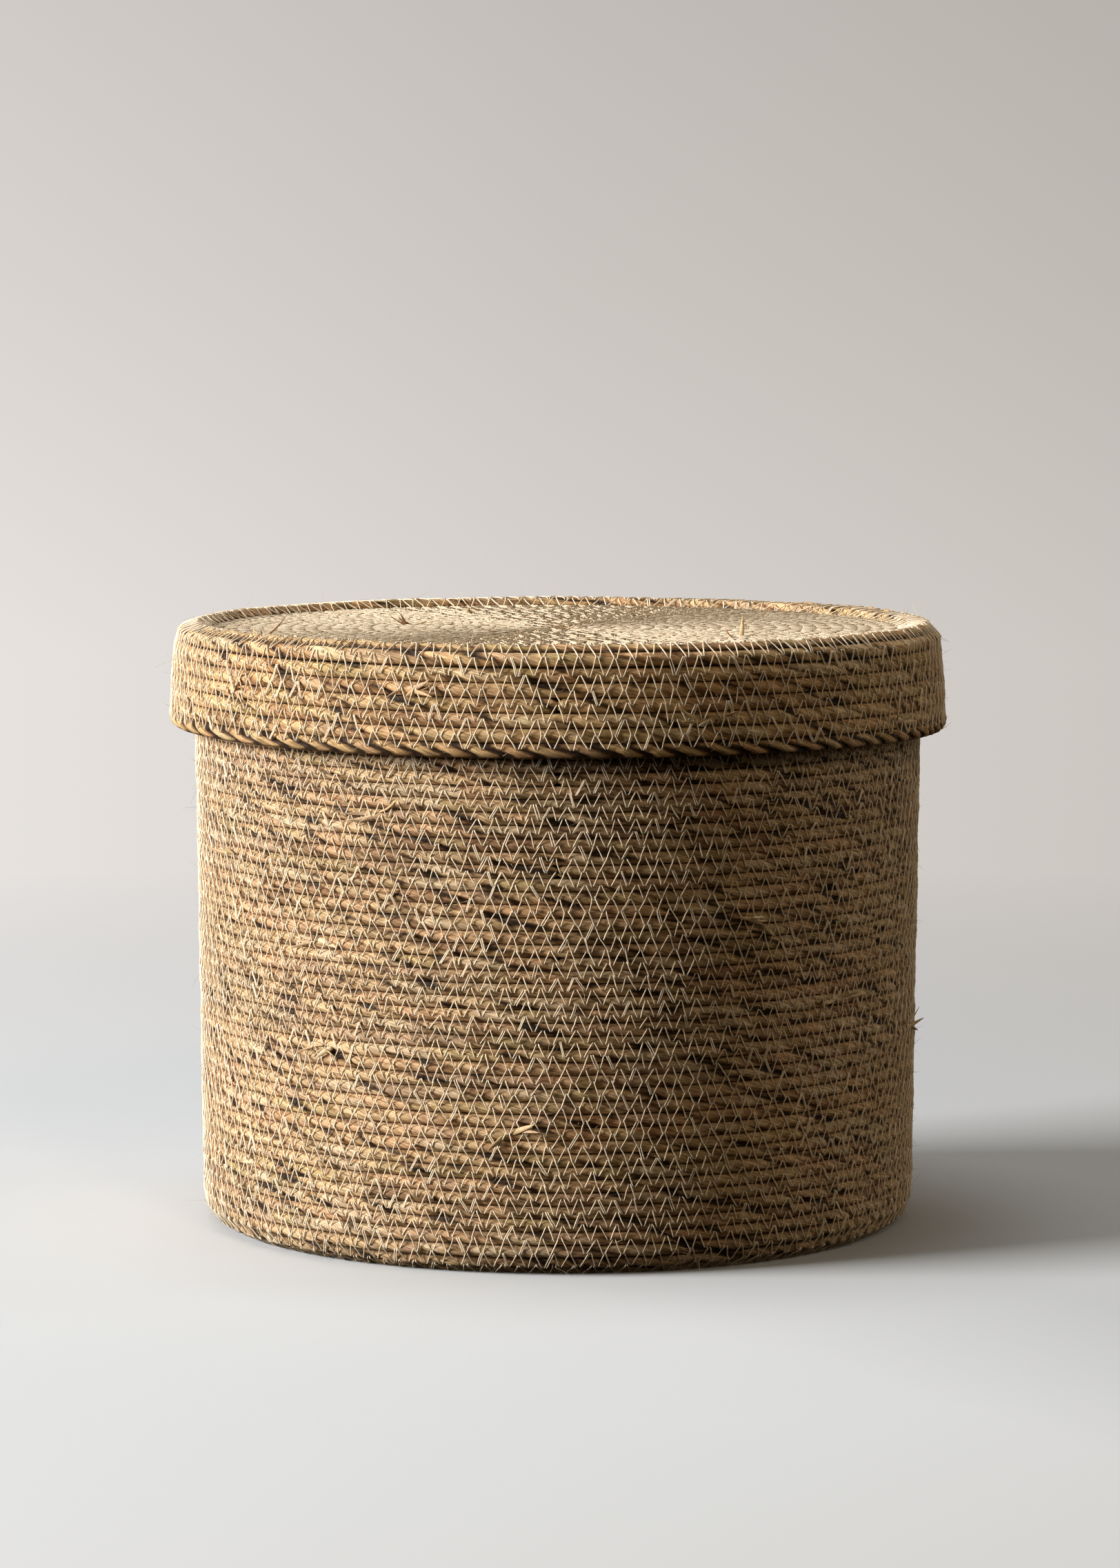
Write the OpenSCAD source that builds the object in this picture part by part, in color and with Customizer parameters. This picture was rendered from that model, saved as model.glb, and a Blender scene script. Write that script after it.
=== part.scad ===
// Round lidded basket, coiled from seagrass cord and sewn turn to turn.
// +Z is up. The origin is the middle of the floor's underside, where the basket rests.

/* [Basket] */
// Outside diameter at the rim
rim_d = 318.6; // [240:0.2:400]
// How much further out the wall stands at the rim than at the heel
wall_flare = 3.1; // [0:0.1:12]
// Height of the basket without its lid
basket_h = 258; // [150:0.5:350]
// Radius of the heel, along the middle of the cord
heel_r = 10.6; // [8:0.1:25]
// Diameter of the basket's cord
cord_d = 5.4; // [4.5:0.1:8]
// How much of the floor's cord is pressed flat where it rests
press_flat = 0.3; // [0.2:0.05:0.6]

/* [Lid] */
// Clearance between the rim and the skirt at the top of the skirt
skirt_gap = 2.9; // [2:0.1:6]
// How much further out the skirt stands at its bottom than at its top
skirt_flare = 2.5; // [0:0.1:6]
// Depth of the lid from its raised edge to its lip
lid_depth = 49.5; // [30:0.5:90]
// Diameter of the lid's cord
lid_cord_d = 5.8; // [4.5:0.1:8]
// Diameter of the lip rope
lip_d = 5.6; // [4:0.1:8]
// Clearance between the lid and the rim that it rests on
lid_seat_gap = 0.3; // [0.2:0.05:1]

/* [Sewing] */
// Diameter of the sewing thread
thread_d = 0.7; // [0.4:0.05:1]
// Clearance between one turn of cord and the next
turn_gap = 0.1; // [0.05:0.01:0.2]
// Clearance between the thread and the cords it lies between
thread_gap = 0.15; // [0.08:0.01:0.3]

/* [Lengths of cord] */
// Half turns in the tight centre of each spiral
centre_half_turns = 9; // [5:2:15]
// Half turns in the rim
rim_half_turns = 3; // [2:1:6]

/* [Hidden] */

turn_facets = 96;
cord_facets = 32;

// A route is the list of points [radius, height] where the middle of a cord crosses the front and
// the back of the basket, one point for each half turn. Two points apart is one turn further on.
function toward(lean) = [cos(lean), sin(lean)];
function walk(start, steps) =
  [for (i = 0, p = start; i <= len(steps); p = i < len(steps) ? p + steps[i] : p, i = i + 1) p];
function fitted(length, half_pitch) = floor(length / half_pitch + 0.001);

// Basket: out along the floor, round the heel and up the wall.
pitch = cord_d + turn_gap;
wall_lean = atan(wall_flare / (basket_h - heel_r));
heel_half_turns = round(heel_r * (90 - wall_lean) * PI/180 / (pitch/2));
heel_turn = (90 - wall_lean) / heel_half_turns;
heel_steps = [for (i = [0.5 : heel_half_turns]) pitch/2 / cos(heel_turn/2) * toward(heel_turn * i)];
heel_size = walk([0, 0], heel_steps)[heel_half_turns];

rim_r = rim_d/2 - cord_d/2;
rim_z = basket_h - cord_d/2;
floor_start_r = pitch/2;
floor_r = rim_r - wall_flare - heel_size[0];
floor_half_turns = fitted(floor_r - floor_start_r, pitch/2);
floor_step = (floor_r - floor_start_r) / floor_half_turns;
floor_route = walk([floor_start_r, cord_d/2 - press_flat],
                   [for (i = [1 : floor_half_turns]) [floor_step, 0]]);

wall_way = [wall_flare, rim_z - cord_d/2 - heel_size[1]];
wall_half_turns = fitted(norm(wall_way), pitch/2);
wall_route = walk([floor_r, cord_d/2], concat(
  heel_steps,
  [for (i = [1 : wall_half_turns]) wall_way / wall_half_turns]
));

// Grooves run on from the floor to the wall, so their route does too.
basket_route = concat([for (i = [0 : floor_half_turns - 1]) floor_route[i]], wall_route);

heel_first = floor_half_turns;
wall_first = heel_first + heel_half_turns;
basket_last = wall_first + wall_half_turns;
rim_first = basket_last - rim_half_turns;
wall_lengths = 6;
function wall_splice(i) = wall_first + round((rim_first - wall_first) * i / wall_lengths);
thread_lengths = 3;
function thread_splice(i) = heel_first + round((basket_last - 2 - heel_first) * i / thread_lengths);

// Lid: out along the sunk top, up over the raised edge and down the skirt.
lid_pitch = lid_cord_d + turn_gap;
// Direction of each half turn of the edge, in degrees above level and outward
edge_leans = [24, 42, 16, -18, -52, -78];
// The edge's turns are laid further apart, because a corner crowds them
edge_spread = 1.09;
edge_steps = [for (lean = edge_leans) lid_pitch/2 * edge_spread * toward(lean)];
edge_route = walk([0, 0], edge_steps);
edge_size = edge_route[len(edge_leans)];
crest_rise = max([for (p = edge_route) p[1]]);

shoulder_r = rim_d/2 + skirt_gap + lid_cord_d/2;
sunk_r = shoulder_r - edge_size[0];
lid_start_r = lid_pitch/2;
sunk_half_turns = fitted(sunk_r - lid_start_r, lid_pitch/2);
sunk_step = (sunk_r - lid_start_r) / sunk_half_turns;

skirt_way = [skirt_flare, lid_cord_d/2 + crest_rise - edge_size[1] + lip_d/2 - lid_depth];
skirt_half_turns = fitted(norm(skirt_way), lid_pitch/2);
lid_shape = walk([lid_start_r, 0], concat(
  [for (i = [1 : sunk_half_turns]) [sunk_step, 0]],
  edge_steps,
  [for (i = [1 : skirt_half_turns]) skirt_way / skirt_half_turns]
));

edge_first = sunk_half_turns;
skirt_first = edge_first + len(edge_leans);
lid_last = skirt_first + skirt_half_turns;
lip_first = lid_last - 2;
skirt_splice = skirt_first + ceil((lip_first - skirt_first) / 2);

// The rim is highest at the back, where its cord ends. The lid comes down until the nearest of its
// own turns there is lid_seat_gap clear of that end.
seat_reach = (cord_d + lid_cord_d)/2 + lid_seat_gap;
lid_z = rim_z + max([for (i = [lid_last : -2 : 0])
  let (out = lid_shape[i][0] - rim_r)
  if (abs(out) < seat_reach) sqrt(seat_reach*seat_reach - out*out) - lid_shape[i][1]]);
lid_route = [for (p = lid_shape) p + [0, lid_z]];

// Each groove between two turns holds a thread, clear of both cords. side is 1 on the left of the
// way the route goes and -1 on its right: inside and outside the basket, outside and inside the lid.
function groove(route, d, side) = [for (i = [0 : len(route) - 3])
  let (across = (route[i + 2] - route[i]) / 2,
       reach = (d + thread_d)/2 + thread_gap,
       off = sqrt(reach*reach - across*across))
  route[i] + across + side * off * [-across[1], across[0]] / norm(across)];

basket_outside = groove(basket_route, cord_d, -1);
basket_inside = groove(basket_route, cord_d, 1);
lid_outside = groove(lid_route, lid_cord_d, 1);
lid_inside = groove(lid_route, lid_cord_d, -1);

// How far a half turn tips, and how far its section is rolled from the coil's first one so that the
// seams along the cord's surface run on from each half turn to the next.
function tip(route, i) = atan2(route[i + 1][1] - route[i][1], route[i][0] + route[i + 1][0]);
function roll(route, first, i) =
  i == first ? 0 : roll(route, first, i - 1) + tip(route, i - 1) + tip(route, i);

// Half a turn of cord, from radius and height a on the +X side round to b on the -X side.
// press is how much of the cord's underside is pressed flat.
module half_turn(a, b, d, section_roll, press) {
  across = [a[0] + b[0], b[1] - a[1]];
  translate([(a[0] - b[0])/2, 0, (a[1] + b[1])/2])
    rotate([0, atan2(across[1], across[0]), 0])
      rotate_extrude(angle = 180, $fn = turn_facets)
        translate([norm(across)/2, 0])
          difference() {
            rotate(section_roll)
              circle(d = d, $fn = cord_facets);
            if (press > 0)
              translate([-d/2, press - 3*d/2])
                square(d);
          }
}

// The half turns of a route from first up to last. Half turn end, where the coil stops, is at the back.
// The section's seam is followed from half turn seam_first.
module coil(route, first, last, d, end, seam_first, press = 0) {
  for (i = [first : last - 1])
    rotate([0, 0, 90 + 180 * (i - end)])
      half_turn(route[i], route[i + 1], d, roll(route, seam_first, i), press);
}

module floor_coil(first, last) {
  coil(floor_route, first, last, cord_d, basket_last, first, press_flat);
}

module basket_coil(first, last) {
  coil(basket_route, first, last, cord_d, basket_last, first);
}

module lid_coil(first, last, d = lid_cord_d) {
  coil(lid_route, first, last, d, lid_last, first);
}

module base_centre_cord() {
  color("#b98d62") floor_coil(0, centre_half_turns);
}

module base_cord() {
  color("#c39a6e") floor_coil(centre_half_turns, heel_first);
}

module heel_cord() {
  color("#b48a5f") basket_coil(heel_first, wall_first);
}

module wall_cord(i) {
  color(i % 2 == 0 ? "#c29a70" : "#ad8a60") basket_coil(wall_splice(i), wall_splice(i + 1));
}

module rim_cord() {
  color("#b98d62") basket_coil(rim_first, basket_last);
}

module base_needle_thread() {
  color("#e3cfa4") coil(basket_outside, 0, heel_first - 1, thread_d, basket_last, 0);
}

module base_bobbin_thread() {
  color("#e3cfa4") coil(basket_inside, 0, heel_first - 1, thread_d, basket_last, 0);
}

module wall_thread(route, i) {
  color("#e3cfa4")
    coil(route, thread_splice(i), thread_splice(i + 1), thread_d, basket_last, heel_first);
}

module wall_needle_thread(i) {
  wall_thread(basket_outside, i);
}

module wall_bobbin_thread(i) {
  wall_thread(basket_inside, i);
}

module lid_centre_cord() {
  color("#cdb083") lid_coil(0, centre_half_turns);
}

module lid_top_cord() {
  color("#d5b98c") lid_coil(centre_half_turns, edge_first);
}

module lid_edge_cord() {
  color("#cdb083") lid_coil(edge_first, skirt_first);
}

module lid_skirt_cord_upper() {
  color("#c9ab74") lid_coil(skirt_first, skirt_splice);
}

module lid_skirt_cord_lower() {
  color("#bfa26c") lid_coil(skirt_splice, lip_first);
}

module lid_lip_rope() {
  color("#c29a62") lid_coil(lip_first, lid_last, lip_d);
}

module lid_top_needle_thread() {
  color("#eadbb6") coil(lid_outside, 0, edge_first - 1, thread_d, lid_last, 0);
}

module lid_top_bobbin_thread() {
  color("#eadbb6") coil(lid_inside, 0, edge_first - 1, thread_d, lid_last, 0);
}

module lid_skirt_needle_thread() {
  color("#eadbb6") coil(lid_outside, edge_first, lid_last - 3, thread_d, lid_last, edge_first);
}

module lid_skirt_bobbin_thread() {
  color("#eadbb6") coil(lid_inside, edge_first, lid_last - 3, thread_d, lid_last, edge_first);
}

base_centre_cord();
base_cord();
heel_cord();
wall_cord(0);  // wall_cord_1
wall_cord(1);  // wall_cord_2
wall_cord(2);  // wall_cord_3
wall_cord(3);  // wall_cord_4
wall_cord(4);  // wall_cord_5
wall_cord(5);  // wall_cord_6
rim_cord();
base_needle_thread();
base_bobbin_thread();
wall_needle_thread(0);  // wall_needle_thread_1
wall_needle_thread(1);  // wall_needle_thread_2
wall_needle_thread(2);  // wall_needle_thread_3
wall_bobbin_thread(0);  // wall_bobbin_thread_1
wall_bobbin_thread(1);  // wall_bobbin_thread_2
wall_bobbin_thread(2);  // wall_bobbin_thread_3
lid_centre_cord();
lid_top_cord();
lid_edge_cord();
lid_skirt_cord_upper();
lid_skirt_cord_lower();
lid_lip_rope();
lid_top_needle_thread();
lid_top_bobbin_thread();
lid_skirt_needle_thread();
lid_skirt_bobbin_thread();
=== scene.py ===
"""Round lidded basket, coiled from twisted seagrass cord and sewn turn to turn with a zigzag of thread."""
import math

import bpy
import numpy as np
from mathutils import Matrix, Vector


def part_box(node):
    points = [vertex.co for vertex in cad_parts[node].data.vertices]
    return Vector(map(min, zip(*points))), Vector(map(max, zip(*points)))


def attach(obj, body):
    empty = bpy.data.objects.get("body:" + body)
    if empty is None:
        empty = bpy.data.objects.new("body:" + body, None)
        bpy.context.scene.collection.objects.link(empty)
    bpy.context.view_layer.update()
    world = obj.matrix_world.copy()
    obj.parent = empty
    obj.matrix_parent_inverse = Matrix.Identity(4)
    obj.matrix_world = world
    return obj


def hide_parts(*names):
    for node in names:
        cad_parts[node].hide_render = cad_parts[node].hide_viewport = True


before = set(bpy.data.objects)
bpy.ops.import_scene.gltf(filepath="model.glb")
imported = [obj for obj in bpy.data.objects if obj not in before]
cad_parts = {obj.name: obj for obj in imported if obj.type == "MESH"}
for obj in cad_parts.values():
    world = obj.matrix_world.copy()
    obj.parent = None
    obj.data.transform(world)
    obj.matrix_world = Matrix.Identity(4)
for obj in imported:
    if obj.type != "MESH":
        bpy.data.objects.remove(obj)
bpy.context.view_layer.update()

MM = 0.001

# ---------------------------------------------------------------------------------------------
# Sizes of the cords and of their courses, as the CAD model has them
# ---------------------------------------------------------------------------------------------
CORD_D = 5.4 * MM
LID_CORD_D = 5.8 * MM
LIP_D = 5.6 * MM
TURN_GAP = 0.1 * MM
HEEL_HALF_TURNS = 6
WALL_FLARE = 3.1 * MM
SKIRT_FLARE = 2.5 * MM
CENTRE_HALF_TURNS = 9
RIM_HALF_TURNS = 3
WALL_LENGTHS = 6
THREAD_LENGTHS = 3
EDGE_LEANS = (24, 42, 16, -18, -52, -78)
EDGE_SPREAD = 1.09

# Looks of the cord: how far it takes to twist once, and how far apart its rings of vertices are
CORD_LAY = 50 * MM
LIP_LAY = 29 * MM
FINE_STEP = 0.85 * MM
LID_TOP_STEP = 1.0 * MM
COARSE_STEP = 1.5 * MM
# Each of the two plies: its radius and its distance from the middle, as parts of the cord's radius
CORD_PLY = (0.72, 0.30)
LIP_PLY = (0.60, 0.42)
# Painted shade: the lid's top, its cords and its threads, is painted darker than its skirt
TOP_PAINTED_SHADE = 0.60
TOP_SHADED_THREAD_TONES = (0.0, 0.5)

# The sewing: how far each leg of a V goes along the cord, how far past the crest its holes are, and
# how far the two threads in one hole stand apart
STITCH = 3.6 * MM
THREAD_R = 0.28 * MM
OVERSHOOT = 0.45 * MM
TIP_GAP = 0.5 * MM
# Nothing of the basket goes lower than this
FLOOR_CLEAR = 0.35 * MM
# A band of paler leaf in the wall: its height and half its width
PALE_BAND = 60 * MM
PALE_SPREAD = 15 * MM
# No leaf reflects more than this before its material's tint
PALEST = 0.76

# Fineness of the tables that the coils and the noise are read from
SAMPLES_A_HALF_TURN = 120
TANGENT_STEP = 0.004
NOISE_TABLE = 4096


# ---------------------------------------------------------------------------------------------
# Small tools
# ---------------------------------------------------------------------------------------------
def unit(v):
    return v / np.maximum(np.linalg.norm(v, axis=-1, keepdims=True), 1e-12)


def smooth_noise(x, seed):
    """Random values from -1 to 1 at whole numbers of x, joined smoothly."""
    table = np.random.default_rng(seed).uniform(-1, 1, NOISE_TABLE)
    low = np.floor(x).astype(int)
    part = x - low
    part = part * part * (3 - 2 * part)
    return table[low % NOISE_TABLE] * (1 - part) + table[(low + 1) % NOISE_TABLE] * part


def walk(start, steps):
    """The points reached from start by one step after another."""
    return np.concatenate([[start], np.asarray(start) + np.cumsum(steps, axis=0)])


def toward(degrees):
    """A unit step outward for 0 degrees and upward for 90."""
    return np.array([math.cos(math.radians(degrees)), math.sin(math.radians(degrees))])


def fitted(length, half_pitch):
    """How many half turns fit in a length."""
    return math.floor(length / half_pitch + 0.001)


# ---------------------------------------------------------------------------------------------
# Coils: the middle line of a cord, by half turns, as the CAD model lays it
# ---------------------------------------------------------------------------------------------
class Coil:
    """A cord's middle line. route holds [radius, height] at each half turn. side is 1 if the outside
    of the basket is on the left of the way the route goes, and -1 if it is on the right. Turns are
    uneven between rough_from and rough_to, in half turns."""

    def __init__(self, route, side, rough_from, rough_to):
        self.route, self.side = np.asarray(route), side
        self.rough = (rough_from, rough_to)
        self.last = len(route) - 1
        self.fine_k = np.linspace(0, self.last, self.last * SAMPLES_A_HALF_TURN + 1)
        gaps = np.linalg.norm(np.diff(self.centre(self.fine_k), axis=0), axis=1)
        self.fine_s = np.concatenate([[0], np.cumsum(gaps)])

    def section(self, k):
        """Radius and height of the middle line at k half turns."""
        k = np.clip(k, 0, self.last)
        low = np.minimum(np.floor(k).astype(int), self.last - 1)
        part = (1 - np.cos(math.pi * (k - low))) / 2
        return self.route[low] * (1 - part)[:, None] + self.route[low + 1] * part[:, None]

    def spun(self, rz, k):
        """[radius, height] pairs turned round the basket's axis to where the cord is at k."""
        turn = math.pi / 2 + math.pi * (k - self.last)
        return np.stack([rz[:, 0] * np.cos(turn), rz[:, 0] * np.sin(turn), rz[:, 1]], 1)

    def centre(self, k):
        return self.spun(self.section(k), k)

    def frame(self, k):
        """Middle, direction of the cord, outward normal, and the third direction across the cord."""
        along = self.section(k + 1) - self.section(k - 1)
        normal = unit(self.side * np.stack([-along[:, 1], along[:, 0]], 1))
        outward = self.spun(normal, k)
        tangent = unit(self.centre(k + TANGENT_STEP) - self.centre(k - TANGENT_STEP))
        outward = unit(outward - tangent * (outward * tangent).sum(1)[:, None])
        middle = self.centre(k) + outward * self.unevenness(k)[:, None]
        return middle, tangent, outward, np.cross(tangent, outward)

    def unevenness(self, k):
        """How far a turn stands out from its neighbours, from place to place."""
        s = self.length_at(k)
        stray = 0.34 * smooth_noise(s / (31 * MM), 91) + 0.22 * smooth_noise(s / (11 * MM), 92)
        rough_from, rough_to = self.rough
        return stray * MM * np.clip((k - rough_from) / 4, 0, 1) * np.clip((rough_to - k) / 4, 0, 1)

    def length_at(self, k):
        return np.interp(k, self.fine_k, self.fine_s)

    def turn_at(self, s):
        return np.interp(s, self.fine_s, self.fine_k)


def basket_route():
    """The basket's [radius, height] points, and the half turn where its heel starts."""
    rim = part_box("rim_cord")
    rim_r, rim_z = rim[1][1] - CORD_D / 2, rim[1][2] - CORD_D / 2
    base_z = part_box("base_cord")[1][2] - CORD_D / 2
    half = (CORD_D + TURN_GAP) / 2
    heel_rise = HEEL_HALF_TURNS * half * 2 / math.pi
    lean = math.degrees(math.atan(WALL_FLARE / (rim_z + CORD_D / 2 - heel_rise)))
    turn = (90 - lean) / HEEL_HALF_TURNS
    stride = half / math.cos(math.radians(turn / 2))
    heel = [stride * toward(turn * (i + 0.5)) for i in range(HEEL_HALF_TURNS)]
    heel_size = np.sum(heel, axis=0)
    floor_r = rim_r - WALL_FLARE - heel_size[0]
    count = fitted(floor_r - half, half)
    floor = walk([half, base_z], [[(floor_r - half) / count, 0]] * count)
    way = np.array([WALL_FLARE, rim_z - CORD_D / 2 - heel_size[1]])
    rows = fitted(np.linalg.norm(way), half)
    wall = walk([floor_r, CORD_D / 2], heel + [way / rows] * rows)
    return np.concatenate([floor[:-1], wall]), count


def lid_route():
    """The lid's [radius, height] points, and the half turn where its raised edge starts."""
    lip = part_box("lid_lip_rope")
    half = (LID_CORD_D + TURN_GAP) / 2
    steps = [half * EDGE_SPREAD * toward(lean) for lean in EDGE_LEANS]
    edge_walk = walk([0, 0], steps)
    sunk_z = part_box("lid_top_cord")[1][2] - LID_CORD_D / 2
    shoulder_r = lip[1][1] - LIP_D / 2 - SKIRT_FLARE
    sunk_r = shoulder_r - edge_walk[-1][0]
    count = fitted(sunk_r - half, half)
    way = np.array([SKIRT_FLARE, lip[0][2] + LIP_D / 2 - sunk_z - edge_walk[-1][1]])
    rows = fitted(np.linalg.norm(way), half)
    sunk = [[(sunk_r - half) / count, 0]] * count
    return walk([half, sunk_z], sunk + steps + [way / rows] * rows), count


basket_points, HEEL_FIRST = basket_route()
lid_points, EDGE_FIRST = lid_route()
BASKET = Coil(basket_points, -1, HEEL_FIRST + 4, len(basket_points) - 2)
LID = Coil(lid_points, 1, EDGE_FIRST, len(lid_points) + 2)
WALL_FIRST = HEEL_FIRST + HEEL_HALF_TURNS
RIM_FIRST = BASKET.last - RIM_HALF_TURNS
SKIRT_FIRST = EDGE_FIRST + len(EDGE_LEANS)
LIP_FIRST = LID.last - 2
SKIRT_SPLICE = SKIRT_FIRST + math.ceil((LIP_FIRST - SKIRT_FIRST) / 2)


def wall_splice(i):
    """The half turn where the wall's cord i ends and the next one starts."""
    return WALL_FIRST + math.floor((RIM_FIRST - WALL_FIRST) * i / WALL_LENGTHS + 0.5)


def thread_splice(i):
    """The half turn where the wall's thread i ends and the next one starts."""
    return HEEL_FIRST + math.floor((BASKET.last - 2 - HEEL_FIRST) * i / THREAD_LENGTHS + 0.5)


# ---------------------------------------------------------------------------------------------
# Meshes
# ---------------------------------------------------------------------------------------------
def new_piece(name, verts, faces, body, replaced, material, colours=None, uvs=None):
    """A mesh object from arrays. faces and uvs are lists of arrays, one array for each face size."""
    mesh = bpy.data.meshes.new(name)
    mesh.vertices.add(len(verts))
    mesh.vertices.foreach_set("co", verts.astype(np.float32).ravel())
    corners = np.concatenate([f.ravel() for f in faces]).astype(np.int32)
    sizes = np.concatenate([np.full(len(f), f.shape[1]) for f in faces])
    mesh.loops.add(len(corners))
    mesh.loops.foreach_set("vertex_index", corners)
    mesh.polygons.add(len(sizes))
    mesh.polygons.foreach_set("loop_start", (np.cumsum(sizes) - sizes).astype(np.int32))
    mesh.update(calc_edges=True)
    mesh.shade_smooth()
    if colours is not None:
        layer = mesh.color_attributes.new("ColourAndCreaseShade", "FLOAT_COLOR", "POINT")
        layer.data.foreach_set("color", colours.astype(np.float32).ravel())
    for map_name, parts in (uvs or {}).items():
        layer = mesh.uv_layers.new(name=map_name)
        corners_uv = np.concatenate([p.reshape(-1, 2) for p in parts])
        layer.uv.foreach_set("vector", corners_uv.astype(np.float32).ravel())
    piece = bpy.data.objects.new(name, mesh)
    bpy.context.scene.collection.objects.link(piece)
    mesh.materials.append(material)
    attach(piece, body)
    if replaced:
        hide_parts(*replaced)
    return piece


def tube_faces(rings, sides):
    """Quads between rings of one tube, by vertex number."""
    a = np.arange((rings - 1) * sides).reshape(rings - 1, sides)
    b = np.roll(a, -1, axis=1)
    return np.stack([a, b, b + sides, a + sides], -1).reshape(-1, 4)


def tubes(paths, normals, radii, sides):
    """Many alike tubes at once. paths and normals are [tube, point, xyz], radii [tube, point]."""
    count, points = paths.shape[:2]
    tangent = unit(np.gradient(paths, axis=1))
    across = unit(np.cross(tangent, normals))
    up = np.cross(across, tangent)
    turn = 2 * math.pi * np.arange(sides) / sides
    ring = across[:, :, None] * np.cos(turn)[:, None] + up[:, :, None] * np.sin(turn)[:, None]
    verts = (paths[:, :, None] + ring * radii[:, :, None, None]).reshape(-1, 3)
    start = (np.arange(count) * points * sides)[:, None, None]
    quads = (tube_faces(points, sides)[None] + start).reshape(-1, 4)
    first = np.arange(sides)[::-1]
    caps = np.stack([first, first[::-1] + (points - 1) * sides])
    caps = (caps[None] + start).reshape(-1, sides)
    return verts, [quads, caps]


def patch_uvs(count, points, sides):
    """A bake map for many tubes: each has a small square of its own."""
    per_row = math.ceil(math.sqrt(count))
    size = 1 / per_row
    corner = np.stack([np.arange(count) % per_row, np.arange(count) // per_row], 1) * size
    i, j = np.meshgrid(np.arange(points - 1), np.arange(sides), indexing="ij")
    i, j = i.ravel(), j.ravel()
    u = np.stack([i, i, i + 1, i + 1], 1) / (points - 1)
    v = np.stack([j, j + 1, j + 1, j], 1) / sides
    quads = corner[:, None, None] + np.stack([u, v], -1)[None] * size * 0.8 + size * 0.1
    turn = 2 * math.pi * np.arange(sides) / sides
    disc = np.stack([np.cos(turn), np.sin(turn)], 1) * size * 0.04
    caps = corner[:, None, None] + disc[None, None] + size * np.array([0.06, 0.06])
    return [quads.reshape(-1, 4, 2), np.repeat(caps, 2, axis=1).reshape(-1, sides, 2)]


# ---------------------------------------------------------------------------------------------
# Cord
# ---------------------------------------------------------------------------------------------
# Colours of dry seagrass leaf, as linear light: straw, peach, mauve, olive, pale and brown
LEAVES = np.array([
    (0.66, 0.47, 0.26),
    (0.67, 0.44, 0.245),
    (0.54, 0.37, 0.225),
    (0.53, 0.39, 0.19),
    (0.75, 0.58, 0.37),
    (0.40, 0.24, 0.12),
])
# How much of the cord has each of those colours, and of the lip rope
CORD_SHARES = (0.46, 0.18, 0.11, 0.06, 0.13, 0.06)
LIP_SHARES = (0.45, 0.25, 0.05, 0.05, 0.15, 0.05)
# The cut ends: dark, and with alpha 0, so that they also get the full painted crease shade
CUT_END = (0.1, 0.07, 0.04, 0.0)
LEAF_LENGTHS = (14 * MM, 55 * MM)


def leaf_colours(s, shares, seed):
    """The colour of one ply along its length: one leaf after another, each with a shade of its own."""
    rng = np.random.default_rng(seed)
    ends = np.cumsum(rng.uniform(*LEAF_LENGTHS, int(s.max() / LEAF_LENGTHS[0]) + 4))
    which = np.searchsorted(ends, s)
    kinds = rng.choice(len(LEAVES), len(ends) + 1, p=shares)
    shade = rng.uniform(0.85, 1.13, len(ends) + 1)
    return LEAVES[kinds[which]] * shade[which][:, None]


def ply_reach(turn, size, offset):
    """How far a round ply reaches from the cord's middle, at an angle from the ply's own side."""
    return offset * np.cos(turn) + np.sqrt(np.maximum(size**2 - (offset * np.sin(turn)) ** 2, 1e-4))


def twisted_plies(own, twist, turn, ply, shares, loose, seed):
    """How far each of the two plies reaches at each ring and angle, and its colour at each ring."""
    reach, colours = [], []
    for i in range(2):
        swell = (smooth_noise(own / (8 * MM), seed + 11 + i)
                 + 0.5 * smooth_noise(own / (3.1 * MM), seed + 21 + i))
        size = ply[0] + loose * 0.07 * swell
        offset = ply[1] + loose * 0.06 * smooth_noise(own / (11 * MM), seed + 31 + i)
        wander = loose * 0.6 * smooth_noise(own / (13 * MM), seed + 35 + i)
        away = turn[None] - (twist + i * math.pi + wander)[:, None]
        ripple = 2.5 * smooth_noise(own / (17 * MM), seed + 41 + i)[:, None]
        fold = 1 + loose * 0.05 * np.sin(4 * away + ripple)
        reach.append(ply_reach(away, size[:, None], offset[:, None]) * fold)
        colours.append(leaf_colours(own, shares, seed + 51 + i))
    return reach, colours


def pressed(radius, aside, pitch, d):
    """The cord's radius once it is pressed flat where it meets its neighbours, and fills the space to
    them. aside is 1 towards a neighbour and 0 outward."""
    radius = np.minimum(radius, (d / 2 + TURN_GAP) / np.maximum(aside, 0.35))
    meet = np.clip(pitch, d, 1.15 * d)[:, None] / 2 + 0.04 * MM
    return np.where(aside > 0.9, np.maximum(radius, meet * (0.55 * aside + 0.45)), radius)


def leaf_paint(s, own, height, reach, both, colours, aside, tone, seed):
    """Colour of every vertex, ring by ring. Alpha carries the painted shade of the creases: 0 in a crease,
    fully shaded, and 1 on top of a ply.
    """
    front = (reach[0] > reach[1])[:, :, None]
    paint = np.where(front, colours[0][:, None], colours[1][:, None])
    shade = 1 + 0.09 * smooth_noise(s / 0.21, 77) + 0.06 * smooth_noise(s / 0.05, 78)
    shade = shade + 0.40 * np.exp(-(((height - PALE_BAND) / PALE_SPREAD) ** 2))
    paint = paint * shade[:, None, None]
    # The palest leaf is held to PALEST; a tone below 1 darkens the whole cord, as painted shade on the lid's
    # top
    paint = paint * np.minimum(1, PALEST / paint.max(-1, keepdims=True)) * tone
    depth = np.clip((both - 0.64) / 0.22, 0, 1)
    # Painted shade: the groove between turns is painted dark, and wider in some places than in others
    open_to = 1 + 0.4 * smooth_noise(own / (6 * MM), seed + 81)
    depth = depth * np.clip((1 - aside) / (0.15 * open_to[:, None]), 0, 1)
    return np.concatenate([paint, depth[:, :, None]], 2).reshape(-1, 4)


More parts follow.
